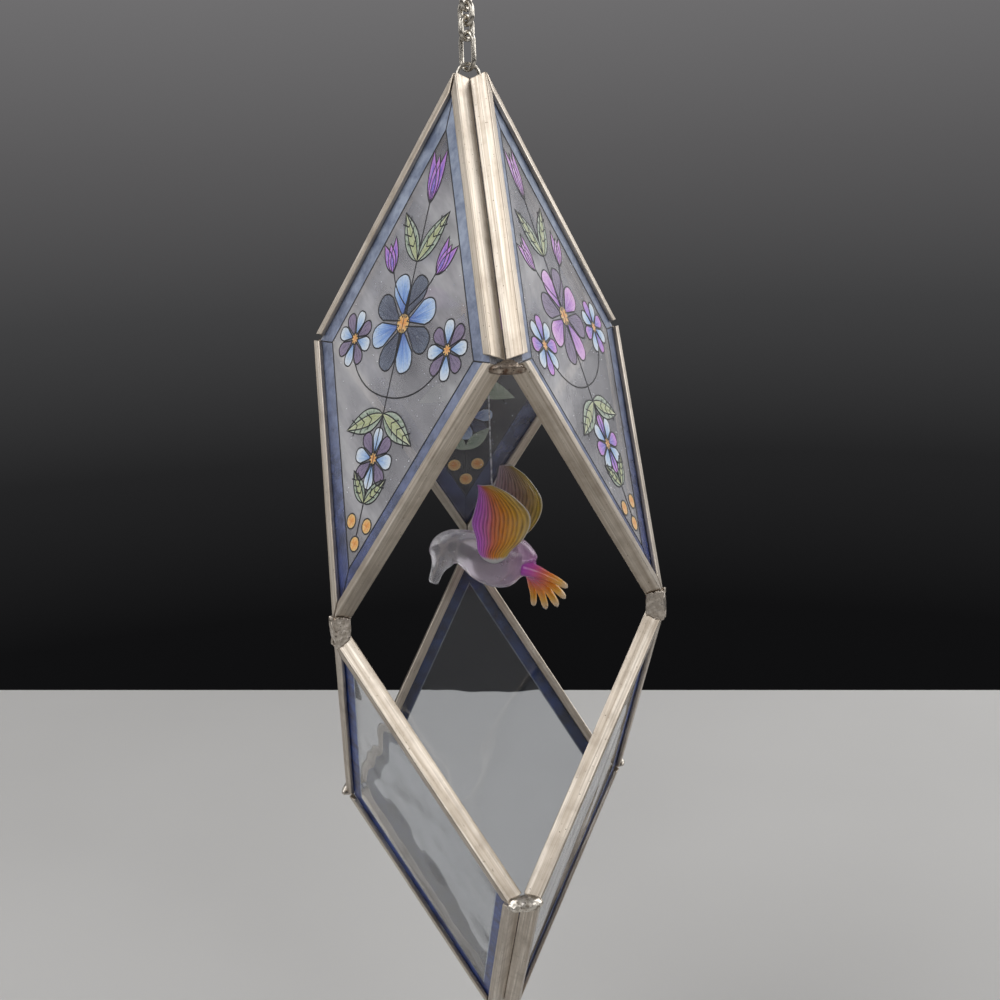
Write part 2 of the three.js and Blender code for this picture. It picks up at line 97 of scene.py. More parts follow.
def add_camera():
    """Camera with the photograph's frame"""
    data = bpy.data.cameras.new("camera")
    data.sensor_width = sensor_width
    data.lens = focal_share * sensor_width
    data.clip_start = camera_near
    camera = new_object("camera", data)
    ahead = Vector((
        -math.sin(camera_turn) * math.cos(camera_tilt),
        math.cos(camera_turn) * math.cos(camera_tilt),
        math.sin(camera_tilt),
    ))
    level = Vector((math.cos(camera_turn), math.sin(camera_turn), 0))
    above = level.cross(ahead)
    right = math.cos(camera_roll) * level + math.sin(camera_roll) * above
    up = -math.sin(camera_roll) * level + math.cos(camera_roll) * above
    turn = Matrix((right, up, -ahead)).transposed().to_4x4()
    camera.matrix_world = Matrix.Translation(lantern_centre + camera_place) @ turn
    bpy.context.scene.camera = camera


def colour(code):
    """Linear colour of a web colour code"""
    channels = [int(code[i:i + 2], 16) / 255 for i in (1, 3, 5)]
    return tuple(c / 12.92 if c <= 0.04045 else ((c + 0.055) / 1.055) ** 2.4 for c in channels) + (1.0,)


# Nodes and materials

def fill(tree, socket, value):
    """Links a node's output to a socket, or sets the socket's plain value"""
    if isinstance(value, bpy.types.NodeSocket):
        tree.links.new(value, socket)
    else:
        socket.default_value = value


def add_node(tree, kind, settings=None, **inputs):
    """Adds a node; settings are its options, inputs its sockets by name with _ for a space"""
    node = tree.nodes.new(kind)
    for key, value in (settings or {}).items():
        setattr(node, key, value)
    for key, value in inputs.items():
        fill(tree, node.inputs[key.replace("_", " ")], value)
    return node


def new_material(name, **values):
    """Principled material; values are plain values of the shader's sockets"""
    material = bpy.data.materials.new(name)
    material.use_nodes = True
    shader = material.node_tree.nodes["Principled BSDF"]
    for key, value in values.items():
        shader.inputs[key.replace("_", " ")].default_value = value
    return material, material.node_tree, shader


def object_place(tree):
    """The point's place on the piece, in metres"""
    return add_node(tree, "ShaderNodeTexCoord").outputs["Object"]


def tint_of(tree):
    """The tint that the piece's own points carry"""
    return add_node(tree, "ShaderNodeAttribute", {"attribute_name": "Tint"}).outputs["Color"]


def stretched(tree, place, turn, stretch):
    """The place turned and stretched, for noise that is drawn out one way"""
    return add_node(tree, "ShaderNodeMapping", {"vector_type": "TEXTURE"}, Vector=place,
                    Rotation=turn, Scale=stretch).outputs["Vector"]


def ramp(tree, factor, stops):
    """Colour ramp; stops are pairs of place and colour code or grey"""
    node = add_node(tree, "ShaderNodeValToRGB", Fac=factor)
    elements = node.color_ramp.elements
    while len(elements) < len(stops):
        elements.new(0.5)
    for element, (place, value) in zip(elements, stops):
        element.position = place
        element.color = colour(value) if isinstance(value, str) else (value, value, value, 1)
    return node.outputs["Color"]


def graded(tree, shader, socket, factor, stops):
    """Drives one of the shader's sockets by a ramp"""
    tree.links.new(ramp(tree, factor, stops), shader.inputs[socket])


def mix(tree, factor, first, second, blend="MIX"):
    """Mixes two colours or greys"""
    node = add_node(tree, "ShaderNodeMix", {"data_type": "RGBA", "blend_type": blend})
    for number, value in ((0, factor), (6, first), (7, second)):
        fill(tree, node.inputs[number], value)
    return node.outputs[2]


def grain(tree, place, size, detail=2.0, roughness=0.5):
    """Noise whose forms are about as large as size"""
    return add_node(tree, "ShaderNodeTexNoise", Vector=place, Scale=1 / size, Detail=detail,
                    Roughness=roughness).outputs["Fac"]


def bump(tree, shader, height, depth):
    """Relief of a depth in metres"""
    node = add_node(tree, "ShaderNodeBump", Height=height, Distance=depth)
    tree.links.new(node.outputs["Normal"], shader.inputs["Normal"])


def drawn_metal(name, run):
    """Satin zinc came, drawn in the direction run: streaks along it, small pits and tarnish"""
    material, tree, shader = new_material(name, Metallic=1.0)
    place = object_place(tree)
    turn = Vector((1, 0, 0)).rotation_difference(run).to_euler()
    streaked = stretched(tree, place, turn, (60, 1, 1))
    streaks = grain(tree, streaked, 0.45 * mm, 4.0, 0.65)
    rollers = grain(tree, streaked, 1.3 * mm, 2.0)
    tarnish = grain(tree, place, 7 * mm, 4.0, 0.6)
    pits = grain(tree, place, 0.55 * mm, 2.0)
    base = ramp(tree, streaks, [(0.30, "#a79d90"), (0.52, "#cdc3b6"), (0.72, "#e8dfd3")])
    base = mix(tree, ramp(tree, rollers, [(0.40, 0.55), (0.60, 0.0)]), base, colour("#a89a89"))
    base = mix(tree, ramp(tree, tarnish, [(0.48, 0.0), (0.72, 0.5)]), base, colour("#8f8273"))
    base = mix(tree, ramp(tree, pits, [(0.69, 0.0), (0.75, 0.8)]), base, colour("#4e463d"))
    tree.links.new(base, shader.inputs["Base Color"])
    graded(tree, shader, "Roughness", streaks, [(0.2, 0.42), (0.8, 0.28)])
    bump(tree, shader, mix(tree, 0.5, streaks, rollers), 0.06 * mm)
    return material


def solder_metal(name, tones, stain, stain_share):
    """Solder that has run and set, in three tones, with stains and dark hollows of burnt flux"""
    material, tree, shader = new_material(name, Metallic=1.0)
    place = object_place(tree)
    flow = grain(tree, place, 1.1 * mm, 4.0, 0.6)
    hollows = grain(tree, place, 0.7 * mm, 3.0)
    base = ramp(tree, flow, list(zip((0.32, 0.50, 0.70), tones)))
    stains = grain(tree, place, 2.2 * mm, 3.0)
    stained = ramp(tree, stains, [(0.62 - stain_share / 2, 0.0), (0.72 - stain_share / 2, 0.9)])
    base = mix(tree, stained, base, colour(stain))
    base = mix(tree, ramp(tree, hollows, [(0.64, 0.0), (0.70, 0.9)]), base, colour("#352e28"))
    tree.links.new(base, shader.inputs["Base Color"])
    graded(tree, shader, "Roughness", flow, [(0.3, 0.5), (0.65, 0.26)])
    bump(tree, shader, mix(tree, 0.5, flow, hollows), 0.12 * mm)
    return material


def plated_wire():
    """Bright plated steel wire of the chain, rings and bail, with fine wear"""
    material, tree, shader = new_material("plated_wire", Metallic=1.0)
    place = object_place(tree)
    wear = grain(tree, place, 0.8 * mm, 4.0, 0.6)
    graded(tree, shader, "Base Color", wear, [(0.35, "#9f988d"), (0.6, "#ded8cd")])
    graded(tree, shader, "Roughness", wear, [(0.3, 0.32), (0.7, 0.14)])
    bump(tree, shader, wear, 0.02 * mm)
    return material


def wispy_glass(name, alpha):
    """Upper panes: smoky lilac glass, see-through, with pale streaks drawn through it, partly the glass's own
    and partly painted reflection
    """
    material, tree, shader = new_material(name, Alpha=alpha, IOR=1.5, Specular_IOR_Level=0.9)
    place = object_place(tree)
    drawn = stretched(tree, place, (0.5, 0.2, 0.4), (1.0, 3.2, 1.0))
    streaks_and_reflection = grain(tree, drawn, 15 * mm, 5.0, 0.6)
    # Pale base colour along the streaks: partly the glass's own streaks, partly a painted reflection of soft
    # light
    graded(tree, shader, "Base Color", streaks_and_reflection, [(0.34, "#a09fa6"), (0.50, "#c8c7cd"), (0.66, "#fdfcff")])
    graded(tree, shader, "Roughness", streaks_and_reflection, [(0.3, 0.04), (0.7, 0.10)])
    bump(tree, shader, grain(tree, place, 14 * mm, 1.0), 0.10 * mm)
    return material


def rolled_glass():
    """Lower panes: plain clear glass with slow waves in its face"""
    material, tree, shader = new_material(
        "rolled_glass", Base_Color=colour("#dfe2e6"), Roughness=0.02, IOR=1.5, Transmission_Weight=0.97)
    place = object_place(tree)
    drawn = stretched(tree, place, (0.3, 0.5, 0.2), (1.0, 1.0, 2.4))
    bump(tree, shader, grain(tree, drawn, 16 * mm, 1.0), 0.6 * mm)
    return material


mottle_places = (0.36, 0.64)


def border_glaze(name, low_tones, high_tones, low, high, alpha):
    """Translucent fired border colour, mottled between two tones, which change with the height"""
    material, tree, shader = new_material(name, Alpha=alpha, Coat_Weight=0.4, Coat_Roughness=0.1)
    place = object_place(tree)
    height = add_node(tree, "ShaderNodeSeparateXYZ", Vector=place).outputs["Z"]
    climb = add_node(tree, "ShaderNodeMapRange", Value=height, From_Min=low, From_Max=high).outputs["Result"]
    mottle = grain(tree, place, 4 * mm, 5.0, 0.65)
    base = mix(tree, climb, ramp(tree, mottle, list(zip(mottle_places, low_tones))),
               ramp(tree, mottle, list(zip(mottle_places, high_tones))))
    tree.links.new(base, shader.inputs["Base Color"])
    fine = grain(tree, place, 0.5 * mm, 3.0)
    graded(tree, shader, "Roughness", fine, [(0.3, 0.3), (0.7, 0.5)])
    bump(tree, shader, fine, 0.02 * mm)
    return material


def enamel(name, alpha, speckle, streak):
    """Hand-painted enamel: the film's own colour, stippled and brushed from root to rim"""
    material, tree, shader = new_material(name, Alpha=alpha, Coat_Weight=0.5, Coat_Roughness=0.12)
    tint = tint_of(tree)
    brush = add_node(tree, "ShaderNodeUVMap", {"uv_map": "Brush"}).outputs["UV"]
    strokes = add_node(tree, "ShaderNodeMapping", Vector=brush, Scale=(1.2, 26, 1)).outputs["Vector"]
    strokes = grain(tree, strokes, 1.0, 3.0)
    dabs = grain(tree, object_place(tree), 0.55 * mm, 3.0, 0.6)
    base = mix(tree, ramp(tree, strokes, [(0.54, 0.0), (0.70, streak)]), tint, colour("#f4f6fb"), "SCREEN")
    base = mix(tree, ramp(tree, strokes, [(0.34, 0.9), (0.50, 0.0)]), base, tint, "MULTIPLY")
    base = mix(tree, ramp(tree, dabs, [(0.5, 0.0), (0.72, speckle)]), base, colour("#1d2a55"), "MULTIPLY")
    tree.links.new(base, shader.inputs["Base Color"])
    graded(tree, shader, "Roughness", dabs, [(0.3, 0.28), (0.7, 0.5)])
    bump(tree, shader, dabs, 0.04 * mm)
    return material


def black_line_paint():
    """Raised black outlining paint, slightly glossy and uneven"""
    material, tree, shader = new_material("black_line_paint")
    fine = grain(tree, object_place(tree), 0.6 * mm, 3.0)
    graded(tree, shader, "Base Color", fine, [(0.3, "#0b0b0d"), (0.7, "#24232a")])
    graded(tree, shader, "Roughness", fine, [(0.3, 0.3), (0.7, 0.5)])
    bump(tree, shader, fine, 0.03 * mm)
    return material


def pale_fleck_paint():
    """Pale blue-grey flecks where paint has spattered"""
    material, tree, shader = new_material("pale_fleck_paint", Roughness=0.4)
    shade = grain(tree, object_place(tree), 3 * mm, 1.0)
    graded(tree, shader, "Base Color", shade, [(0.40, "#8a93a8"), (0.60, "#eceff5")])
    return material


cloud_roughness = 0.12


def bird_glass(name, transmission, roughness, cloudiness):
    """Flame-worked glass in its own tints, faintly cloudy inside"""
    material, tree, shader = new_material(
        name, IOR=1.46, Transmission_Weight=transmission, Coat_Weight=0.3, Coat_Roughness=0.08)
    tint = tint_of(tree)
    cloud = grain(tree, object_place(tree), 2.5 * mm, 3.0)
    base = mix(tree, ramp(tree, cloud, [(0.4, 0.0), (0.7, cloudiness)]), tint, colour("#f3eef6"), "SCREEN")
    tree.links.new(base, shader.inputs["Base Color"])
    graded(tree, shader, "Roughness", cloud, [(0.35, roughness), (0.7, roughness + cloud_roughness)])
    bump(tree, shader, grain(tree, object_place(tree), 5 * mm, 1.0), 0.06 * mm)
    return material


def nylon_line():
    """Clear nylon thread, slightly milky with a twist in it"""
    material, tree, shader = new_material("nylon_line", IOR=1.5, Transmission_Weight=0.35)
    twist = grain(tree, object_place(tree), 0.7 * mm, 2.0)
    graded(tree, shader, "Base Color", twist, [(0.3, "#b9b9be"), (0.7, "#efeff2")])
    graded(tree, shader, "Roughness", twist, [(0.3, 0.2), (0.7, 0.4)])
    return material


def pale_floor():
    """Matte pale floor with the faintest clouding"""
    material, tree, shader = new_material("pale_floor", Roughness=0.85)
    cloud = grain(tree, object_place(tree), 0.2, 3.0)
    graded(tree, shader, "Base Color", cloud, [(0.3, "#bdbcba"), (0.7, "#c4c3c1")])
    return material


# Making pieces

def new_object(name, data, *materials):
    """Links a mesh, curve, light or camera as an object at the origin"""
    obj = bpy.data.objects.new(name, data)
    for material in materials:
        data.materials.append(material)
    bpy.context.scene.collection.objects.link(obj)
    return obj


def settle(obj, slot, *replaced):
    """Makes a finished piece ride on the body and hides the solids that it stands for; its slot is not used
    """
    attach(obj, "root")
    if replaced:
        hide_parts(*replaced)


def plain_mesh(obj):
    """Swaps an object's live modifiers for the mesh that they make"""
    bpy.context.view_layer.update()
    evaluated = obj.evaluated_get(bpy.context.evaluated_depsgraph_get())
    mesh = bpy.data.meshes.new_from_object(evaluated)
    obj.modifiers.clear()
    old = obj.data
    obj.data = mesh
    bpy.data.meshes.remove(old)
    mesh.name = obj.name
    return mesh


def merged_copy(node):
    """A bmesh of a solid's surface with its loose triangles joined"""
    form = bmesh.new()
    form.from_mesh(nodes[node].data)
    bmesh.ops.remove_doubles(form, verts=form.verts, dist=0.001 * mm)
    return form


def shaped_mesh(name, form):
    """A mesh of a finished bmesh"""
    mesh = bpy.data.meshes.new(name)
    form.to_mesh(mesh)
    form.free()
    return mesh


def tint_points(mesh, tints):
    """Gives each point of a mesh its own tint"""
    layer = mesh.color_attributes.new("Tint", "FLOAT_COLOR", "POINT")
    for item, tint in zip(layer.data, tints):
        item.color = tint


def middle_of(node):
    """Middle of a solid's box"""
    low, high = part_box(node)
    return (low + high) / 2


def smooth(mesh):
    """Shades every face of a mesh smoothly"""
    mesh.polygons.foreach_set("use_smooth", [True] * len(mesh.polygons))


class NodeTree:
    """A Geometry Nodes tree with named inputs, built in order and ending in one mesh"""

    def __init__(self, name, sizes):
        self.tree = bpy.data.node_groups.new(name, "GeometryNodeTree")
        self.tree.interface.new_socket("Geometry", in_out="INPUT", socket_type="NodeSocketGeometry")
        self.sizes = sizes
        for label, value in sizes.items():
            kind = "NodeSocketInt" if isinstance(value, int) else "NodeSocketFloat"
            self.tree.interface.new_socket(label, in_out="INPUT", socket_type=kind)
        self.tree.interface.new_socket("Geometry", in_out="OUTPUT", socket_type="NodeSocketGeometry")
        self.inputs = self.tree.nodes.new("NodeGroupInput").outputs

    def add(self, kind, settings=None, **inputs):
        """Adds a node to the tree and gives its first output"""
        return add_node(self.tree, kind, settings, **inputs).outputs[0]

    def math(self, operation, *values):
        """The result of an operation on one or two values"""
        node = add_node(self.tree, "ShaderNodeMath", {"operation": operation})
        for socket, value in zip(node.inputs, values):
            fill(self.tree, socket, value)
        return node.outputs[0]

    def vector(self, x=0.0, y=0.0, z=0.0):
        """A vector of three values"""
        return self.add("ShaderNodeCombineXYZ", X=x, Y=y, Z=z)

    def end(self, geometry, material):
        """Realizes the instances, sets the material and closes the tree"""
        geometry = self.add("GeometryNodeRealizeInstances", Geometry=geometry)
        geometry = self.add("GeometryNodeSetMaterial", Geometry=geometry, Material=material)
        out = self.tree.nodes.new("NodeGroupOutput")
        self.tree.links.new(geometry, out.inputs[0])

    def run_on(self, obj):
        """Runs the tree on an object and leaves it a plain mesh"""
        modifier = obj.modifiers.new(self.tree.name, "NODES")
        modifier.node_group = self.tree
        for item in self.tree.interface.items_tree:
            if item.in_out == "INPUT" and item.name in self.sizes:
                modifier[item.identifier] = self.sizes[item.name]
        return plain_mesh(obj)


def wire_ring(tree, length, width, wire, steps, sides):
    """An oval ring of round wire in the XZ plane, as geometry inside a tree"""
    middle = tree.math("MULTIPLY", tree.math("SUBTRACT", width, wire), 0.5)
    straight = tree.math("MULTIPLY", tree.math("SUBTRACT", length, width), 0.5)
    circle = tree.add("GeometryNodeCurvePrimitiveCircle", Resolution=steps, Radius=middle)
    place = tree.add("GeometryNodeInputPosition")
    y = add_node(tree.tree, "ShaderNodeSeparateXYZ", Vector=place).outputs["Y"]
    pull = tree.math("MULTIPLY", tree.math("SIGN", y), straight)
    oval = tree.add("GeometryNodeSetPosition", Geometry=circle, Offset=tree.vector(y=pull))
    section = tree.add("GeometryNodeCurvePrimitiveCircle", Resolution=sides,
                       Radius=tree.math("MULTIPLY", wire, 0.5))
    tube = tree.add("GeometryNodeCurveToMesh", Curve=oval, Profile_Curve=section)
    upright = tree.add("GeometryNodeTransform", Geometry=tube, Rotation=(math.pi / 2, 0, 0))
    return tree.add("GeometryNodeSetShadeSmooth", Geometry=upright)


def point_mesh(name, points):
    """A mesh of loose points"""
    mesh = bpy.data.meshes.new(name)
    mesh.from_pydata(points, [], [])
    return mesh


# The panes' own planes

pane_azimuths = {"left": 210, "right": 330, "back": 90}
lower_names = {"left": "right", "right": "left", "back": "back"}
turn_over = Matrix.Rotation(math.pi, 4, "Y")


def pane_matrix(half, place):
    """A pane's plane: x level, y towards the apex or nadir, z outwards; seen from outside x runs right"""
    azimuth = math.radians(pane_azimuths[place if half == "upper" else lower_names[place]])
    outwards = Vector((math.cos(azimuth), math.sin(azimuth), 0))
    level = Vector((-math.sin(azimuth), math.cos(azimuth), 0))
    climb = (Vector((0, 0, apex_rise)) - outwards * corner_radius).normalized()
    facing = level.cross(climb)
    centre = outwards * corner_radius / 2 + Vector((0, 0, apex_rise / 2))
    matrix = Matrix((level, climb, facing)).transposed().to_4x4()
    matrix.translation = centre
    if half == "lower":
        matrix = turn_over @ matrix
    return Matrix.Translation(lantern_centre) @ matrix


def frame_corner(corner, inset):
    """A corner of the frame in the pane's plane, moved in from the frame's outline by inset"""
    ridge = ridge_inset + inset
    free = open_inset + inset
    if corner == "apex":
        return Vector((0, pane_length / 2 - ridge / math.sin(tip_half_angle)))
    if corner == "hip":
        return Vector((0, free / math.sin(tip_half_angle) - pane_length / 2))
    across = (2 * apothem - ridge - free) / (2 * math.cos(tip_half_angle))
    along = (free - ridge) / (2 * math.sin(tip_half_angle))
    return Vector((-across if corner == "left" else across, along))


frame_round = ["apex", "left", "hip", "right"]
strip_ends = {"ridge_1": ("left", "apex"), "ridge_2": ("apex", "right"),
              "open_1": ("hip", "left"), "open_2": ("right", "hip")}


# Came

came_edge = 0.22 * mm
came_edge_profile = 0.6
came_dent = 0.05 * mm
came_dent_length = 14 * mm
# A seed of its own, because vector noise otherwise starts from the clock and differs from run to run
came_dent_seed = 3
came_sections = 22
came_flat_angle = math.radians(2)
ridge_closing = clearance / 2 / math.sin(ridge_half_angle)


def came_strip(half, place, side, material):
    """A came strip with worn edges and slight dents; ridge strips move in until they touch"""
    node = f"came_{half}_{place}_{side}"
    form = merged_copy(node)
    bmesh.ops.dissolve_limit(form, angle_limit=came_flat_angle, verts=form.verts, edges=form.edges)
    bmesh.ops.bevel(form, geom=form.edges[:], offset=came_edge, segments=2,
                     profile=came_edge_profile, affect="EDGES")
    flat = pane_matrix(half, place)
    first, second = (frame_corner(corner, 0) for corner in strip_ends[side])
    start = flat @ first.to_3d()
    run = flat @ second.to_3d() - start
    away = Vector()
    if side.startswith("ridge"):
        level_run = (second - first).normalized()
        away = flat.to_3x3() @ Vector((-level_run.y, level_run.x, 0)) * ridge_closing
    for number in range(1, came_sections):
        station = start + run * number / came_sections
        bmesh.ops.bisect_plane(form, geom=form.verts[:] + form.edges[:] + form.faces[:],
                               plane_co=station, plane_no=run)
    for vertex in form.verts:
        vertex.co += away + noise.noise_vector(vertex.co / came_dent_length) * came_dent
    settle(new_object(node + "_worn", shaped_mesh(node + "_worn", form), material), "came", node)


def came_work():
    """Every strip of came; strips that run the same way share a material"""
    noise.seed_set(came_dent_seed)
    metals = {}
    for half in ("upper", "lower"):
        for place in pane_azimuths:
            flat = pane_matrix(half, place)
            for side, (first, second) in strip_ends.items():
                run = flat.to_3x3() @ (frame_corner(second, 0) - frame_corner(first, 0)).to_3d().normalized()
                if run.z < 0:
                    run = -run
                key = tuple(round(part, 2) for part in run)
                if key not in metals:
                    metals[key] = drawn_metal(f"drawn_came_{len(metals) + 1}", run)
                came_strip(half, place, side, metals[key])


# Solder

# Each kind of joint: how far it swells, the height of its lumps and how much wider it is than its solid
solder_kinds = {
    "waist": (0.40 * mm, 0.24 * mm, 1),
    "shoulder": (0.40 * mm, 0.12 * mm, 1.5),
    "hip": (0.14 * mm, 0.10 * mm, 1),
    "apex": (0.40 * mm, 0.12 * mm, 1),
    "nadir": (0.32 * mm, 0.14 * mm, 1),
}
solder_voxel = 0.28 * mm
solder_settling = 4
solder_settling_share = 0.5
large_lump = 1.3 * mm
small_lump = 0.5 * mm


def solder_joint(node, swell, lump_height, stretch, material):
    """A lump of solder that has flowed against the came round it"""
    form = merged_copy(node)
    middle = middle_of(node)
    outwards = middle - lantern_centre
    level = Vector((-outwards.y, outwards.x, 0)).normalized()
    for vertex in form.verts:
        vertex.co += level * (vertex.co - middle).dot(level) * (stretch - 1)
    obj = new_object(node + "_flowed", shaped_mesh(node + "_flowed", form))
    remesh = obj.modifiers.new("even", "REMESH")
    remesh.mode = "VOXEL"
    remesh.voxel_size = solder_voxel
    settling = obj.modifiers.new("settling", "SMOOTH")
    settling.iterations = solder_settling
    settling.factor = solder_settling_share
    mesh = plain_mesh(obj)
    form = bmesh.new()
    form.from_mesh(mesh)
    form.normal_update()
    for vertex in form.verts:
        lump = noise.noise(vertex.co / large_lump) + noise.noise(vertex.co / small_lump) / 3
        vertex.co += vertex.normal * (swell + lump_height * lump)
    form.to_mesh(mesh)
    form.free()
    smooth(mesh)
    mesh.materials.append(material)
    settle(obj, "solder", node)


def solder_work():
    """All solder joints: bright at the waists and nadir, stained at the shoulders, duller at the others"""
    bright = solder_metal("bright_solder", ("#8f867a", "#d6cfc4", "#f2ede4"), "#9a8c7c", stain_share=0.0)
    stained = solder_metal("stained_solder", ("#6c5f55", "#a09284", "#d0c4b6"), "#553b2b", stain_share=0.20)
    flush = solder_metal("flush_solder", ("#aa9f92", "#c6bcb0", "#e6ddd2"), "#7d6a58", stain_share=0.04)
    metals = {"waist": bright, "shoulder": stained, "hip": flush, "apex": flush, "nadir": bright}
    for node in sorted(nodes):
        if node.startswith("solder_"):
            kind = node.split("_")[1]
            solder_joint(node, *solder_kinds[kind], metals[kind])


# Chain, rings and bail

link_length = 6.2 * mm
link_width = 4.8 * mm
link_wire = 1.3 * mm
link_count = 9
link_turn_step = math.radians(-98)
link_first_turn = math.radians(35) - (link_count - 1) * link_turn_step
ring_wire = 1.6 * mm
jump_wire = 1.2 * mm
jump_turn = math.radians(-55)


def chain_links(material):
    """The cable links, each turned from the one above it"""
    first = middle_of("chain_link_1")
    last = middle_of(f"chain_link_{link_count}")
    tree = NodeTree("cable_links", {
        "Links": link_count, "Pitch": (last - first).z / (link_count - 1), "Link length": link_length,
        "Link width": link_width, "Wire": link_wire,
        "First turn": link_first_turn, "Turn step": link_turn_step,
    })
    size = tree.inputs
    index = tree.add("GeometryNodeInputIndex")
    turn = tree.math("ADD", size["First turn"], tree.math("MULTIPLY", index, size["Turn step"]))
    line = tree.add("GeometryNodeMeshLine", Count=size["Links"], Start_Location=first,
                    Offset=tree.vector(z=size["Pitch"]))
    link = wire_ring(tree, size["Link length"], size["Link width"], size["Wire"], steps=48, sides=16)
    links = tree.add("GeometryNodeInstanceOnPoints", Points=line, Instance=link,
                     Rotation=tree.vector(z=turn))
    tree.end(links, material)
    obj = new_object("chain_links", point_mesh("chain_links", [first]))
    tree.run_on(obj)
    settle(obj, "chain", *(f"chain_link_{number}" for number in range(1, link_count + 1)))


def single_ring(node, wire, turn, material):
    """A ring of its own wire and turn, as large as its solid"""
    low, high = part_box(node)
    height = (high - low).z
    width = math.hypot((high - low).x, (high - low).y)
    if turn:
        width = ((high - low).x - wire) / math.cos(turn) + wire
    tree = NodeTree(node + "_wire", {"Length": height, "Width": width, "Wire": wire, "Turn": turn})
    size = tree.inputs
    ring = wire_ring(tree, size["Length"], size["Width"], size["Wire"], steps=64, sides=16)
    middle = middle_of(node)
    placed = tree.add("GeometryNodeTransform", Geometry=ring, Translation=middle,
                      Rotation=tree.vector(z=size["Turn"]))
    tree.end(placed, material)
    obj = new_object(node + "_bright", point_mesh(node, [middle]))
    tree.run_on(obj)
    settle(obj, "chain", node)


def bail_wire(material):
    """The bail keeps its solid's bend, smoothed"""
    mesh = shaped_mesh("bail_bright", merged_copy("bail"))
    smooth(mesh)
    obj = new_object("bail_bright", mesh, material)
    rounder = obj.modifiers.new("rounder", "SUBSURF")
    rounder.levels = 1
    rounder.render_levels = 1
    plain_mesh(obj)
    settle(obj, "chain", "bail")


# Painted films in a pane's plane, in millimetres

film_base = 0.02
film_thickness = 0.05
fill_rings = 4


class Painting:
    """Closed films of colour and their outlines, gathered in a pane's plane"""

    def __init__(self):
        self.points = []
        self.faces = []
        self.kinds = []
        self.tints = []
        self.brush = []
        self.lines = []

    def add_point(self, place, height, tint, brush):
        """Adds a point of a film"""
        self.points.append((place.x, place.y, height))
        self.tints.append(tint)
        self.brush.append(brush)
        return len(self.points) - 1

    def film(self, kind, root, outline, tones, raised=0.0, lined=True):
        """A film that fills an outline, with tones from its root to its rim"""
        area = sum(a.x * b.y - b.x * a.y for a, b in zip(outline, outline[1:] + outline[:1]))
        if area < 0:
            outline = outline[::-1]
        count = len(outline)
        low = film_base + raised
        top = low + film_thickness
        middle = self.add_point(root, top, tone(tones, 0), (0, 0))
        rings = []
        for ring in range(1, fill_rings + 1):
            share = ring / fill_rings
            rings.append([self.add_point(root.lerp(point, share), top, tone(tones, share), (share, i / count))
                          for i, point in enumerate(outline)])
        under = [self.add_point(point, low, tone(tones, 1), (1, i / count))
                 for i, point in enumerate(outline)]
        foot = self.add_point(root, low, tone(tones, 0), (0, 0))
        for i in range(count):
            j = (i + 1) % count
            self.face(kind, middle, rings[0][i], rings[0][j])
            for inner, outer in zip(rings, rings[1:]):
                self.face(kind, inner[i], outer[i], outer[j], inner[j])
            self.face(kind, rings[-1][i], under[i], under[j], rings[-1][j])
            self.face(kind, foot, under[j], under[i])
        if lined:
            self.lines.append(outline + outline[:1])

    def face(self, kind, *indices):
        """Adds a face of a film"""
        self.faces.append(indices)
        self.kinds.append(kind)

    def mesh(self, name, flat, materials):
        """The films as a mesh, laid on the pane's outer face"""
        mesh = bpy.data.meshes.new(name)
        height = glass_thickness / 2
        places = [flat @ Vector((x * mm, y * mm, z * mm + height)) for x, y, z in self.points]
        mesh.from_pydata(places, [], self.faces)
        mesh.polygons.foreach_set("material_index", self.kinds)
        tint_points(mesh, self.tints)
        layer = mesh.uv_layers.new(name="Brush")
        for loop in mesh.loops:
            layer.data[loop.index].uv = self.brush[loop.vertex_index]
        for material in materials:
            mesh.materials.append(material)
        return mesh


ENAMEL, LEAF, STAIN, BAND, EDGE = range(5)
line_width = 0.36
line_flatness = 0.35
speck_density = 45000.0
speck_seed = 7
speck_size = 0.34 * mm
speck_scales = (0.4, 1.2)


def tone(tones, share):
    """Colour at a share of the way through a row of colour codes"""
    place = share * (len(tones) - 1)
    first = min(int(place), len(tones) - 2)
    blend = place - first
    return tuple(a + (b - a) * blend for a, b in zip(colour(tones[first]), colour(tones[first + 1])))


def polar(centre, radius, angle):
    """Point at a distance and an angle in degrees from a centre"""
    return centre + Vector((math.cos(math.radians(angle)), math.sin(math.radians(angle)))) * radius


def bezier(start, bend, end, steps=10):
    """Points along a bent line"""
    return [start.lerp(bend, i / steps).lerp(bend.lerp(end, i / steps), i / steps) for i in range(steps + 1)]


sky = ("#2a4ea4", "#4f84d8", "#8ab8f4", "#d4e6fb")
ice = ("#4474c8", "#94c0f2", "#cce2fb", "#f2f8fe")
violet = ("#3448ac", "#7c6cdc", "#b07ce6", "#e69cf0")
pink = ("#7a3ab0", "#b064d6", "#d894ea", "#f2c4f6")
mauve = ("#7c6c94", "#8f7ea4", "#a894b8")
maroon = ("#6a4250", "#5e3846", "#80586a")
slate = ("#56607c", "#4c5674", "#748098")
lime = ("#d2d8a6", "#bac48e", "#e4e8c6")
fern = ("#adc0ae", "#96aa96", "#ccd8c6")
amber = ("#f09a2c", "#fab858", "#f8d890")

petal_points = 12
petal_root = 0.12
petal_blunting = 0.3
petal_count = 8
petal_spread = 0.46
eye_share = 0.2
eye_raised = 0.04
berry_radius = 1.9
berry_points = 12
almond_points = 10
almond_belly = 0.8
almond_root = 0.3
leaf_heart = 0.45
heart_raised = 0.02
vein_shares = (0.3, 0.5, 0.7)
vein_run = 0.14
vein_reach = 0.7
cup_side_width = 0.6
cup_front_width = 0.62
cup_front_height = 0.9
cup_front_raised = 0.03


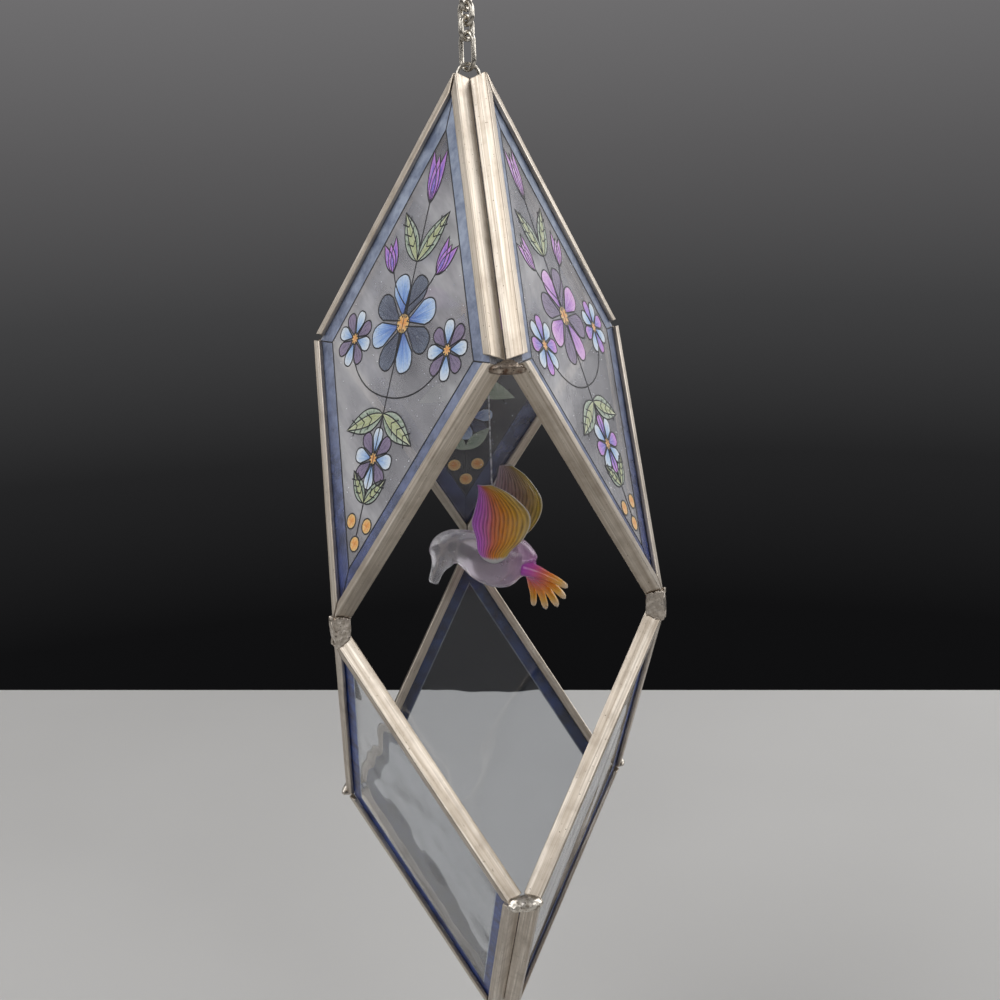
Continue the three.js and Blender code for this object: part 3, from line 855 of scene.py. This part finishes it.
def petal(art, dress, centre, angle, size, spread):
    """One round-ended petal; dress is its kind of film and its tones"""
    kind, tones = dress
    root = polar(centre, petal_root * size, angle)
    outline = [root]
    for step in range(petal_points):
        turn = 2 * step / (petal_points - 1) - 1
        outline.append(polar(centre, size * (1 - petal_blunting * abs(turn) ** 3), angle + spread * turn))
    art.film(kind, root, outline, tones)


def berry(art, centre, radius, raised=0.0):
    """A round amber berry, or a rosette's eye"""
    outline = [polar(centre, radius, 360 / berry_points * i) for i in range(berry_points)]
    art.film(ENAMEL, centre, outline, amber, raised)


def rosette(art, centre, size, dresses, turn):
    """A round flower head of eight even petals in two dresses by turns"""
    share = 360 / petal_count
    for number in range(petal_count):
        petal(art, dresses[number % 2], centre, turn + share * number, size, petal_spread * share)
    berry(art, centre, eye_share * size, eye_raised)


def beside(base, tip, width):
    """A step of a width to the left of the way from base to tip"""
    return Vector((base.y - tip.y, tip.x - base.x)).normalized() * width


def almond(art, kind, base, tip, width, tones, raised=0.0):
    """A pointed oval from base to tip"""
    run = tip - base
    across = beside(base, tip, width)
    shares = [step / almond_points for step in range(almond_points + 1)]
    rise = [base + run * s + across * math.sin(math.pi * s ** almond_belly) for s in shares]
    fall = [base + run * s - across * math.sin(math.pi * s ** almond_belly) for s in reversed(shares[1:-1])]
    art.film(kind, base.lerp(tip, almond_root), rise + fall, tones, raised)


def leaf(art, base, tip, width, light, dark):
    """A lance-shaped leaf with a lighter heart and side veins"""
    almond(art, LEAF, base, tip, width, dark)
    across = beside(base, tip, width)
    almond(art, LEAF, base, tip, leaf_heart * width, light, heart_raised)
    for share in vein_shares:
        foot = base.lerp(tip, share)
        for side in (1, -1):
            art.lines.append([foot, base.lerp(tip, share + vein_run) + across * side * vein_reach])


def cup_flower(art, base, tip, width, tones):
    """A closed cup of three pointed petals"""
    across = beside(base, tip, width)
    for side in (1, -1):
        almond(art, ENAMEL, base, tip + across * side, cup_side_width * width, tones)
    front = base.lerp(tip, cup_front_height)
    almond(art, ENAMEL, base, front, cup_front_width * width, tones[1:], cup_front_raised)


def stem(art, *points):
    """A thin painted stem"""
    for start, bend, end in zip(points[::2], points[1::2], points[2::2]):
        art.lines.append(bezier(Vector(start), Vector(bend), Vector(end)))


def mirrored_spray(art, large, small, cup):
    """An upright spray, the same on both sides: rosettes, cups, leaves and a foot of berries"""
    stem(art, (0, -48), (0, -24), (0, 0), (0, 20), (0, 36))
    cup_flower(art, Vector((0, 33)), Vector((0, 46)), 2.6, cup)
    for side in (1, -1):
        stem(art, (0, 8), (side * 7, 12), (side * 9, 17))
        cup_flower(art, Vector((side * 9, 16)), Vector((side * 13, 24)), 2.4, cup)
        leaf(art, Vector((0, 19)), Vector((side * 9, 31)), 2.6, lime, fern)
        stem(art, (0, -14), (side * 12, -14), (side * 18, -6))
        rosette(art, Vector((side * 19.5, -1)), 7.2, small, side * 10)
        leaf(art, Vector((0, -18)), Vector((side * 14, -24)), 3.0, lime, fern)
        leaf(art, Vector((0, -40)), Vector((side * 7, -33)), 2.0, lime, fern)
        berry(art, Vector((side * 3.4, -45)), berry_radius)
    rosette(art, Vector((0, 4)), 12.5, large, 22.5)
    rosette(art, Vector((0, -29)), 7.6, small, 90)
    berry(art, Vector((0, -50)), berry_radius)


def spray_dresses(place):
    """The tones of a pane's spray: large rosette, small rosettes and cups"""
    if place == "left":
        return [(ENAMEL, sky), (STAIN, slate)], [(ENAMEL, ice), (STAIN, mauve)], violet
    if place == "right":
        return [(ENAMEL, pink), (STAIN, mauve)], [(ENAMEL, violet), (ENAMEL, ice)], pink
    return [(ENAMEL, violet), (STAIN, maroon)], [(ENAMEL, sky), (STAIN, slate)], ice


band_start = 1.5
band_end = {"upper": 6.6, "lower": 5.4}
pale_edge_width = 0.35
band_line_steps = 12
band_raised = -0.01
band_tones = ("#808080", "#808080")
mottled_climb = 0.7 * apex_rise


def frame_outline(inset):
    """The frame's outline in a pane's plane, moved in by inset, in millimetres"""
    return [frame_corner(corner, inset * mm) / mm for corner in frame_round]


def band_films(art, kind, outer, inner):
    """Four mitred films between two outlines"""
    for i in range(4):
        j = (i + 1) % 4
        middle = (outer[i] + outer[j] + inner[i] + inner[j]) / 4
        art.film(kind, middle, [outer[i], outer[j], inner[j], inner[i]], band_tones, band_raised, lined=False)


def band(art, half):
    """The mitred border along the came, with lines on an upper pane and a pale edge on a lower one"""
    outer = frame_outline(band_start)
    inner = frame_outline(band_end[half])
    band_films(art, BAND, outer, inner)
    if half == "lower":
        band_films(art, EDGE, inner, frame_outline(band_end[half] + pale_edge_width))
        return
    for start, end in zip(outer, inner):
        art.lines.append([start, start.lerp(end, 0.5), end])
    for start, end in zip(inner, inner[1:] + inner[:1]):
        art.lines.append([start.lerp(end, i / band_line_steps) for i in range(band_line_steps + 1)])


def outline_work(name, art, flat, material):
    """Raised black lines along the films' edges, the stems and the veins"""
    points = []
    edges = []
    for line in art.lines:
        first = len(points)
        points += [(point.x * mm, point.y * mm, 0) for point in line]
        edges += [(first + i, first + i + 1) for i in range(len(line) - 1)]
    mesh = bpy.data.meshes.new(name)
    mesh.from_pydata(points, edges, [])
    obj = new_object(name, mesh)
    tree = NodeTree("raised_outline", {"Line width": line_width * mm, "Flatness": line_flatness})
    size = tree.inputs
    path = tree.add("GeometryNodeMeshToCurve", Mesh=size["Geometry"])
    section = tree.add("GeometryNodeCurvePrimitiveCircle", Resolution=6,
                       Radius=tree.math("MULTIPLY", size["Line width"], 0.5))
    tube = tree.add("GeometryNodeCurveToMesh", Curve=path, Profile_Curve=section, Fill_Caps=True)
    flatter = tree.add("GeometryNodeTransform", Geometry=tube,
                       Scale=tree.vector(1.0, 1.0, size["Flatness"]))
    tree.end(flatter, material)
    mesh = tree.run_on(obj)
    lift = Matrix.Translation((0, 0, glass_thickness / 2 + (film_base + line_width * line_flatness / 2) * mm))
    mesh.transform(flat @ lift)
    return obj


def specks(name, flat, material):
    """Small flecks of paint scattered over a pane's field"""
    mesh = bpy.data.meshes.new(name)
    field = [frame_corner(corner, band_end["upper"] * mm).to_3d() for corner in frame_round]
    mesh.from_pydata(field, [], [(0, 1, 2, 3)])
    obj = new_object(name, mesh)
    tree = NodeTree("scattered_specks", {"Density": speck_density, "Seed": speck_seed, "Size": speck_size})
    size = tree.inputs
    spots = tree.add("GeometryNodeDistributePointsOnFaces", Mesh=size["Geometry"], Density=size["Density"],
                     Seed=size["Seed"])
    dot = tree.add("GeometryNodeMeshIcoSphere", Radius=tree.math("MULTIPLY", size["Size"], 0.5),
                   Subdivisions=1)
    spread = add_node(tree.tree, "FunctionNodeRandomValue", {"data_type": "FLOAT"}, Seed=size["Seed"])
    for socket, scale in zip(spread.inputs[2:4], speck_scales):
        socket.default_value = scale
    scattered = tree.add("GeometryNodeInstanceOnPoints", Points=spots, Instance=dot,
                         Scale=spread.outputs[1])
    flatter = tree.add("GeometryNodeTransform", Geometry=scattered,
                       Scale=tree.vector(1.0, 1.0, line_flatness))
    tree.end(flatter, material)
    mesh = tree.run_on(obj)
    mesh.transform(flat @ Matrix.Translation((0, 0, glass_thickness / 2 + film_base * mm)))
    return obj


def pane_decoration(half, place, materials, line_paint, speck_paint):
    """The border and painting on one pane"""
    art = Painting()
    band(art, half)
    if half == "upper":
        mirrored_spray(art, *spray_dresses(place))
    flat = pane_matrix(half, place)
    slot = "painted_glass" if half == "upper" else "clear_glass"
    name = f"{half}_{place}"
    settle(new_object("colour_" + name, art.mesh("colour_" + name, flat, materials)), slot)
    if art.lines:
        settle(outline_work("outline_" + name, art, flat, line_paint), slot)
        settle(specks("specks_" + name, flat, speck_paint), slot)


def glass_work():
    """Glass, borders and paintings of the six panes"""
    wispy = wispy_glass("wispy_glass", alpha=0.42)
    thin_wisps = wispy_glass("thin_wisps_glass", alpha=0.08)
    rolled = rolled_glass()
    line_paint = black_line_paint()
    speck_paint = pale_fleck_paint()
    petals = enamel("petal_enamel", alpha=0.92, speckle=0.25, streak=0.5)
    leaves = enamel("leaf_enamel", alpha=0.86, speckle=0.2, streak=0.35)
    stain = enamel("thin_stain", alpha=0.55, speckle=0.15, streak=0.2)
    hip_height = lantern_centre.z
    mottled = border_glaze("mottled_border", ("#0c1850", "#223c92"), ("#8492b0", "#c0cde4"),
                           hip_height, hip_height + mottled_climb, alpha=0.58)
    cobalt = border_glaze("cobalt_border", ("#0e1a4a", "#26428a"), ("#12245a", "#3058ac"),
                          hip_height - apex_rise, hip_height, alpha=0.93)
    pale_edge = border_glaze("pale_edge", ("#8c96ab", "#b8c0cf"), ("#8c96ab", "#b8c0cf"),
                             hip_height - apex_rise, hip_height, alpha=0.8)
    bands = {"upper": mottled, "lower": cobalt}
    for half in ("upper", "lower"):
        for place in pane_azimuths:
            glass = rolled
            if half == "upper":
                glass = thin_wisps if place == "back" else wispy
            nodes[f"pane_{half}_{place}"].material_slots[0].material = glass
            pane_decoration(half, place, [petals, leaves, stain, bands[half], pale_edge],
                            line_paint, speck_paint)


# Bird, in shares of its length: x to the beak, y to its near side, z up

bird_length = 36 * mm
bird_turn = math.radians(23.5)
eyelet_wire = 0.8 * mm
eyelet_bore = 1.8 * mm
back_height = 0.405 * bird_length
thread_diameter = 0.4 * mm

thread_low, thread_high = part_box("thread")
thread_middle = (thread_low + thread_high) / 2
bird_origin = Vector((
    thread_middle.x, thread_middle.y,
    thread_low.z - clearance - back_height - eyelet_bore - eyelet_wire,
))
bird_place = Matrix.Translation(bird_origin) @ Matrix.Rotation(math.pi - bird_turn, 4, "Z")

body_stations = (
    (0.481, -0.020, 0.034), (0.472, 0.004, 0.042), (0.450, 0.060, 0.048), (0.428, 0.110, 0.062),
    (0.400, 0.170, 0.098), (0.376, 0.225, 0.126), (0.320, 0.262, 0.130), (0.250, 0.266, 0.131),
    (0.160, 0.240, 0.162), (0.070, 0.208, 0.200), (-0.030, 0.192, 0.218), (-0.125, 0.192, 0.202),
    (-0.200, 0.188, 0.152), (-0.262, 0.175, 0.100), (-0.300, 0.160, 0.055),
)
body_flattening = 0.88
body_look_ahead = 0.01
body_tints = ("#dcdbdf", "#e6e4e8", "#dad6dc", "#deccdf", "#ea9ce2")


def along_stations(stations, share):
    """Smooth value between rows of numbers, for a share of the way from the first to the last"""
    place = share * (len(stations) - 1)
    index = min(int(place), len(stations) - 2)
    t = place - index
    rows = [stations[min(max(index + k, 0), len(stations) - 1)] for k in (-1, 0, 1, 2)]
    values = []
    for before, start, end, after in zip(*rows):
        slope = (end - before) * t
        bend = (2 * before - 5 * start + 4 * end - after) * t * t
        twist = (3 * start - before - 3 * end + after) * t ** 3
        values.append(0.5 * (2 * start + slope + bend + twist))
    return values


def tinted_loft(name, rings, tints, material):
    """A closed skin over rings of points, with a tint for each ring's points"""
    around = len(rings[0])
    points = [point for ring in rings for point in ring]
    colours = [tint for ring in tints for tint in ring]
    first = len(points)
    points += [sum(rings[0], Vector()) / around, sum(rings[-1], Vector()) / around]
    colours += [tints[0][0], tints[-1][0]]
    faces = []
    for r in range(len(rings) - 1):
        for i in range(around):
            a = r * around + i
            b = r * around + (i + 1) % around
            faces.append((a, b, b + around, a + around))
    end = (len(rings) - 1) * around
    for i in range(around):
        j = (i + 1) % around
        faces.append((first, j, i))
        faces.append((first + 1, end + i, end + j))
    mesh = bpy.data.meshes.new(name)
    mesh.from_pydata([bird_place @ point for point in points], [], faces)
    tint_points(mesh, colours)
    form = bmesh.new()
    form.from_mesh(mesh)
    bmesh.ops.recalc_face_normals(form, faces=form.faces)
    form.to_mesh(mesh)
    form.free()
    smooth(mesh)
    return new_object(name, mesh, material)


def bird_body(material):
    """Body, neck, head and bill in one swelling form"""
    count, sides = 72, 36
    rings = []
    tints = []
    for number in range(count + 1):
        share = number / count
        x, z, radius = along_stations(body_stations, share)
        ahead = along_stations(body_stations, min(share + body_look_ahead, 1))
        behind = along_stations(body_stations, max(share - body_look_ahead, 0))
        tangent = Vector((ahead[0] - behind[0], 0, ahead[1] - behind[1])).normalized()
        raised = Vector((tangent.z, 0, -tangent.x))
        ring = []
        for side in range(sides):
            angle = 2 * math.pi * side / sides
            place = Vector((x, 0, z)) + raised * radius * math.cos(angle)
            place.y += radius * body_flattening * math.sin(angle)
            ring.append(place * bird_length)
        rings.append(ring)
        tints.append([tone(body_tints, share)] * sides)
    return tinted_loft("bird_body", rings, tints, material)


# A wing's outline from the foot up: height, how far its middle lies back, and half its width
wing_outline = (
    (0.213, 0.047, 0.040), (0.240, 0.042, 0.088), (0.300, 0.046, 0.124), (0.385, 0.086, 0.172),
    (0.500, 0.105, 0.216), (0.600, 0.120, 0.200), (0.690, 0.106, 0.152), (0.765, 0.076, 0.102),
    (0.818, 0.030, 0.052),
)
wing_foot_out = 0.170
wing_tip_out = 0.315
wing_lean = 1.3
wing_cup = 0.110
wing_thickness = 0.036
wing_ribs = 14
wing_rib_depth = 0.0055
near_tints = ("#d864f4", "#ee74fa", "#f07ad0", "#f6805c", "#ff9c34", "#ffb430", "#fac43c", "#f0d070")
far_tints = ("#f0dce8", "#e6ccd4", "#dcc0b8", "#dcc0a0", "#ecd080", "#f8e058")
rib_shade = 0.86
rib_waver = 0.040
wing_clear_foot = 0.19
wing_clear_edge = 0.05
wing_clear_grey = 0.8
wing_foot_waver = 0.25
wing_tip_shade = 0.18
sway_scales = (6, 5, 3)
break_scales = (14, 9, 7)


def wing_noise(scales, *place):
    """Noise at a place on a wing, given across, up and by the flank"""
    return noise.noise(Vector([scale * part for scale, part in zip(scales, place)]))


def bird_wing(name, flank, tints_across, material):
    """A cupped, ribbed wing that rises from a round clear foot to a curled tip"""
    rows, columns = 56, 112
    widest = max(half for _, _, half in wing_outline)
    rings = []
    tints = []
    for row in range(rows + 1):
        rise = row / rows
        up, back, half = along_stations(wing_outline, rise)
        fullness = half / widest
        out = wing_foot_out + (wing_tip_out - wing_foot_out) * rise ** wing_lean
        ring = []
        shades = []
        for face in (1, -1):
            for column in range(columns):
                across = face * (2 * column / columns - 1)
                sway = wing_noise(sway_scales, across, rise, flank)
                rib = math.cos(math.pi * wing_ribs * (across + rib_waver * sway))
                skin = wing_thickness / 2 * math.sqrt(1 - across**4)
                bulge = wing_cup * (0.5 - across**2) + wing_rib_depth * rib
                ring.append(Vector((
                    half * across - back,
                    flank * (out + bulge * fullness + face * skin),
                    up,
                )) * bird_length)
                hue = tone(tints_across, 0.5 - across / 2)
                foot = (wing_clear_foot - rise) / wing_clear_edge + wing_foot_waver * sway
                rim = (abs(across) - 1) / wing_clear_edge + 1
                clear = min(1.0, max(0.0, foot) + max(0.0, rim))
                # Painted shade: the furrows between the ribs are darkened, broken up by noise; the tint also
                # grows darker towards the tip
                broken = 0.5 + 0.5 * wing_noise(break_scales, across, rise, flank)
                furrow = (0.5 - 0.5 * rib) ** 2
                darkening = 1 - rib_shade * furrow * broken - wing_tip_shade * rise
                grey = wing_clear_grey * clear
                shades.append(tuple(c * darkening * (1 - clear) + grey for c in hue[:3]) + (1.0,))
        rings.append(ring)
        tints.append(shades)
    return tinted_loft(name, rings, tints, material)


tail_fingers = 5
tail_root = Vector((-0.235, 0, 0.145))
tail_first_angle = 4
tail_fan = 67
tail_reach = 0.352
tail_reach_bow = 0.032
tail_half_spread = 0.112
tail_root_spread = 0.55
tail_droop = 0.028
tail_root_radius = 0.062
tail_tip_radius = 0.023
tail_taper = 1.7
tail_round_from = 0.88
tail_tip_share = 0.12
tail_swelling = 0.05
tail_swelling_pace = 14
tail_tints = ("#cc50d8", "#e060c0", "#f0706c", "#fc9a28", "#fcc04c", "#f0e0c8")


def tail_finger(number, material):
    """One rod of the tail, from its pink root to its round amber tip"""
    share = number / (tail_fingers - 1)
    angle = math.radians(tail_first_angle + tail_fan * share)
    reach = tail_reach + tail_reach_bow * math.sin(math.pi * share)
    spread = tail_half_spread * (2 * share - 1)
    root = tail_root + Vector((0, spread * tail_root_spread, 0))
    tip = Vector((tail_root.x - reach * math.sin(angle), spread, tail_root.z - reach * math.cos(angle)))
    bend = root.lerp(tip, 0.5) + Vector((-tail_droop, 0, tail_droop))
    steps, sides = 30, 18
    rings = []
    tints = []
    for step in range(steps + 1):
        run = step / steps
        centre = root.lerp(bend, run).lerp(bend.lerp(tip, run), run)
        tangent = (root.lerp(bend, run) - bend.lerp(tip, run)).normalized() * -1
        sideways = Vector((0, 1, 0)).cross(tangent).normalized()
        other = tangent.cross(sideways)
        past = max(run - tail_round_from, 0) / (1 - tail_round_from)
        round_end = max(math.sqrt(1 - past**2), tail_tip_share)
        radius = tail_tip_radius + (tail_root_radius - tail_tip_radius) * (1 - run) ** tail_taper
        radius *= round_end
        radius *= 1 + tail_swelling * math.sin(tail_swelling_pace * run + number)
        ring = []
        for side in range(sides):
            turn = 2 * math.pi * side / sides
            place = centre + sideways * radius * math.cos(turn) + other * radius * math.sin(turn)
            ring.append(place * bird_length)
        rings.append(ring)
        tints.append([tone(tail_tints, run)] * sides)
    return tinted_loft(f"bird_tail_{number + 1}", rings, tints, material)


def bird_eyelet(material):
    """The small glass loop on the bird's back that the thread is tied to"""
    outer = eyelet_bore + 2 * eyelet_wire
    tree = NodeTree("bird_eyelet", {"Length": outer, "Width": outer, "Wire": eyelet_wire})
    size = tree.inputs
    ring = wire_ring(tree, size["Length"], size["Width"], size["Wire"], steps=40, sides=14)
    tree.end(ring, material)
    obj = new_object("bird_eyelet", point_mesh("bird_eyelet", [Vector()]))
    mesh = tree.run_on(obj)
    mesh.transform(bird_place @ Matrix.Translation((0, 0, back_height + eyelet_bore / 2)))
    tint_points(mesh, [colour("#dcd8e2")] * len(mesh.vertices))
    return obj


def bird():
    """The glass bird, melted together from its gathers of glass"""
    frosty = bird_glass("frosty_glass", transmission=0.74, roughness=0.16, cloudiness=0.12)
    coloured = bird_glass("coloured_glass", transmission=0.34, roughness=0.10, cloudiness=0.04)
    veiled = bird_glass("veiled_glass", transmission=0.50, roughness=0.08, cloudiness=0.1)
    pieces = [
        bird_body(frosty),
        bird_wing("bird_near_wing", 1, near_tints, coloured),
        bird_wing("bird_far_wing", -1, far_tints, veiled),
        bird_eyelet(frosty),
    ]
    pieces += [tail_finger(number, coloured) for number in range(tail_fingers)]
    for obj in pieces:
        settle(obj, "bird_glass", "bird")


thread_points = 20


def thread(material):
    """The nylon thread that holds the bird, taut from the apex down"""
    data = bpy.data.curves.new("thread_line", "CURVE")
    data.dimensions = "3D"
    data.bevel_depth = thread_diameter / 2
    data.bevel_resolution = 3
    data.use_fill_caps = True
    spline = data.splines.new("POLY")
    spline.points.add(thread_points - 1)
    top = Vector((thread_middle.x, thread_middle.y, thread_high.z))
    bottom = Vector((thread_middle.x, thread_middle.y, thread_low.z))
    for i, point in enumerate(spline.points):
        point.co = (*top.lerp(bottom, i / (thread_points - 1)), 1)
    line = new_object("thread_line", data, material)
    settle(line, "nylon", "thread")


# Stage

floor_drop = 30 * mm
floor_half_width = 1.1
floor_ahead = -1.0
floor_behind = 0.291
floor_turn = math.radians(-13.1)


def stage():
    """Pale floor under the lantern, a plain backdrop and soft lights"""
    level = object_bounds()[0].z - floor_drop
    mesh = bpy.data.meshes.new("floor")
    floor_round = [(-floor_half_width, floor_ahead), (floor_half_width, floor_ahead),
                   (floor_half_width, floor_behind), (-floor_half_width, floor_behind)]
    turn = Matrix.Rotation(floor_turn, 4, "Z")
    mesh.from_pydata([turn @ Vector((x, y, level)) for x, y in floor_round], [], [(0, 1, 2, 3)])
    new_object("floor", mesh, pale_floor())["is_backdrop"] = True
    backdrop()
    for name, (way, distance, size, power) in softboxes.items():
        softbox(name, Vector(way).normalized() * distance, size, power)
    bpy.context.scene.view_settings.view_transform = "Standard"


# Backdrop: how steep a line of sight its tones reach, and the tones from below the floor's edge upwards
backdrop_reach = 0.45
backdrop_tones = [(0.05, "#0f0f10"), (0.13, "#111112"), (0.27, "#242425"), (0.41, "#404041"),
                  (0.55, "#5a595a"), (0.68, "#6e6d6e"), (1.0, "#8a898a")]


def backdrop():
    """Plain dark backdrop that grows lighter towards the ceiling"""
    world = bpy.data.worlds.new("backdrop")
    world.use_nodes = True
    tree = world.node_tree
    place = add_node(tree, "ShaderNodeTexCoord").outputs["Generated"]
    height = add_node(tree, "ShaderNodeSeparateXYZ", Vector=place).outputs["Z"]
    climb = add_node(tree, "ShaderNodeMapRange", Value=height, From_Min=-backdrop_reach,
                     From_Max=backdrop_reach).outputs["Result"]
    tone_up = ramp(tree, climb, backdrop_tones)
    tree.links.new(tone_up, tree.nodes["Background"].inputs["Color"])
    bpy.context.scene.world = world


# Each softbox: the way to it from the lantern, its distance and size in metres, its power in watts
softboxes = {
    "softbox_ceiling_left": ((-0.72, -0.04, 0.70), 0.9, 0.70, 3.3),
    "softbox_ceiling_right": ((0.82, 0.19, 0.55), 0.9, 0.70, 4.2),
    "softbox_back_left": ((-0.85, 0.50, 0.15), 1.0, 0.60, 0.6),
    "softbox_back_right": ((0.76, 0.64, 0.08), 1.0, 0.60, 0.7),
    "softbox_front_right": ((0.58, -0.68, 0.42), 1.1, 0.50, 1.9),
    "softbox_front_left": ((-0.40, -0.79, 0.47), 1.1, 0.50, 1.6),
}


def softbox(name, way, size, power):
    """A square soft light aimed at the lantern"""
    data = bpy.data.lights.new(name, "AREA")
    data.size = size
    data.energy = power
    light = new_object(name, data)
    aim = (-way).to_track_quat("-Z", "Y")
    light.matrix_world = Matrix.Translation(lantern_centre + way) @ aim.to_matrix().to_4x4()


add_camera()
thread(nylon_line())
stage()
came_work()
solder_work()
wire = plated_wire()
chain_links(wire)
single_ring("hanging_ring", ring_wire, 0.0, wire)
single_ring("jump_ring", jump_wire, jump_turn, wire)
bail_wire(wire)
glass_work()
bird()
